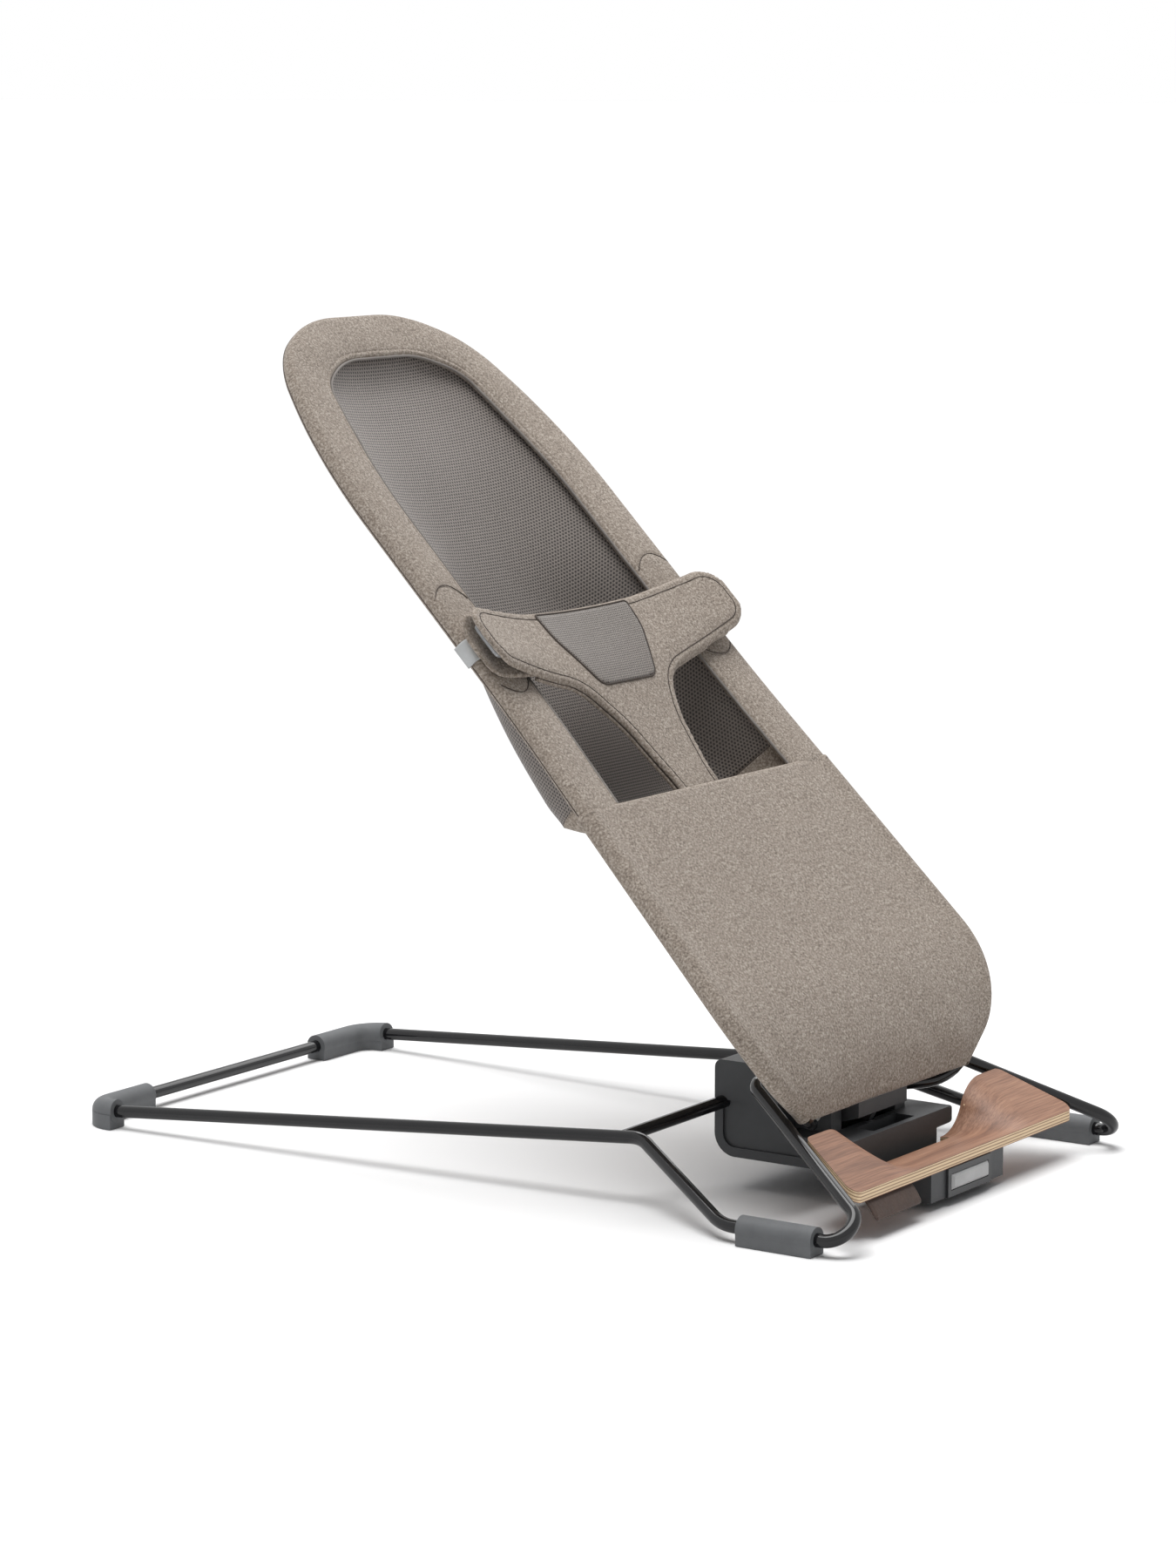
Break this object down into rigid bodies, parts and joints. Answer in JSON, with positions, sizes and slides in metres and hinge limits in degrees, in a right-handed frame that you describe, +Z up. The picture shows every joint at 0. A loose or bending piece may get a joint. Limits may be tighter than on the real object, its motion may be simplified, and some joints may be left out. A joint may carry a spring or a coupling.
{
  "type": "infant bouncer seat",
  "caption": "Reclining infant bouncer seat: padded fabric and mesh sling with a waist belt on a bent steel-rod frame, pivoting on a hub with a wood foot plate and release button.",
  "frame": {"origin": "on the floor, at the middle of the outline seen from above", "axes": "+Z up, -Y towards the foot end with the wood plate and button, +Y towards the head, X across"},
  "size_m": [0.418, 0.694, 0.6098],
  "materials": {
    "black_rod": "gloss black powder coat on spring-steel rod",
    "foot_rubber": "matte grey moulded rubber",
    "hub_plastic": "fine-textured charcoal moulding",
    "bush_plastic": "plain acetal, hidden",
    "bare_steel": "zinc plated",
    "plywood": "walnut veneer on moulded plywood, satin lacquer",
    "tag_leather": "dark brown, left blank",
    "button_plastic": "light grey, satin",
    "taupe_fabric": "melange weave over thin wadding",
    "spacer_mesh": "open spacer mesh",
    "toggle_plastic": "grey, satin",
    "grey_webbing": "flat woven tape"
  },
  "bodies": {
    "base": {"rear_rod": "black_rod", "front_rod_right": "black_rod", "front_rod_left": "black_rod", "brace_rod_right": "black_rod", "brace_rod_left": "black_rod", "front_foot_right": "foot_rubber", "front_foot_left": "foot_rubber", "rear_foot_right": "foot_rubber", "rear_foot_left": "foot_rubber", "hub_lower_shell": "hub_plastic", "hub_upper_shell": "hub_plastic", "hub_side_cover_right": "hub_plastic", "hub_side_cover_left": "hub_plastic", "hub_screws": "bare_steel", "bearing_cap_left": "hub_plastic", "bearing_cap_right": "hub_plastic", "bearing_bush_left": "bush_plastic", "bearing_bush_right": "bush_plastic", "bearing_cap_screws": "bare_steel", "foot_plate": "plywood", "foot_plate_screws": "bare_steel", "leather_tag": "tag_leather", "button_bezel": "hub_plastic", "button_spring": "bare_steel"},
    "release": {"release_button": "button_plastic", "release_yoke": "hub_plastic", "lock_pin": "bare_steel"},
    "seat": {"seat_rod_right": "black_rod", "seat_rod_left": "black_rod", "seat_bracket": "hub_plastic", "index_plate": "bare_steel", "rim_cover": "taupe_fabric", "mesh_bag": "spacer_mesh", "bag_gusset": "taupe_fabric", "leg_panel": "taupe_fabric", "waist_belt": "taupe_fabric", "under_wing_right": "taupe_fabric", "under_wing_left": "taupe_fabric", "belt_mesh": "spacer_mesh", "toggle_right": "toggle_plastic", "toggle_left": "toggle_plastic", "webbing_tab_right": "grey_webbing", "webbing_tab_left": "grey_webbing"}
  },
  "joints": [
    {"name": "seat_recline", "type": "hinge", "parent": "base", "child": "seat", "pos_m": [0, -0.229, 0.059], "axis": [-1, 0, 0], "range_deg": [0, 54]},
    {"name": "button_press", "type": "slide", "parent": "base", "child": "release", "axis": [0, 1, 0], "range_m": [0, 0.005], "stiffness_N_per_m": 1200, "springref_m": -0.004, "deforming": ["button_spring"]}
  ]
}
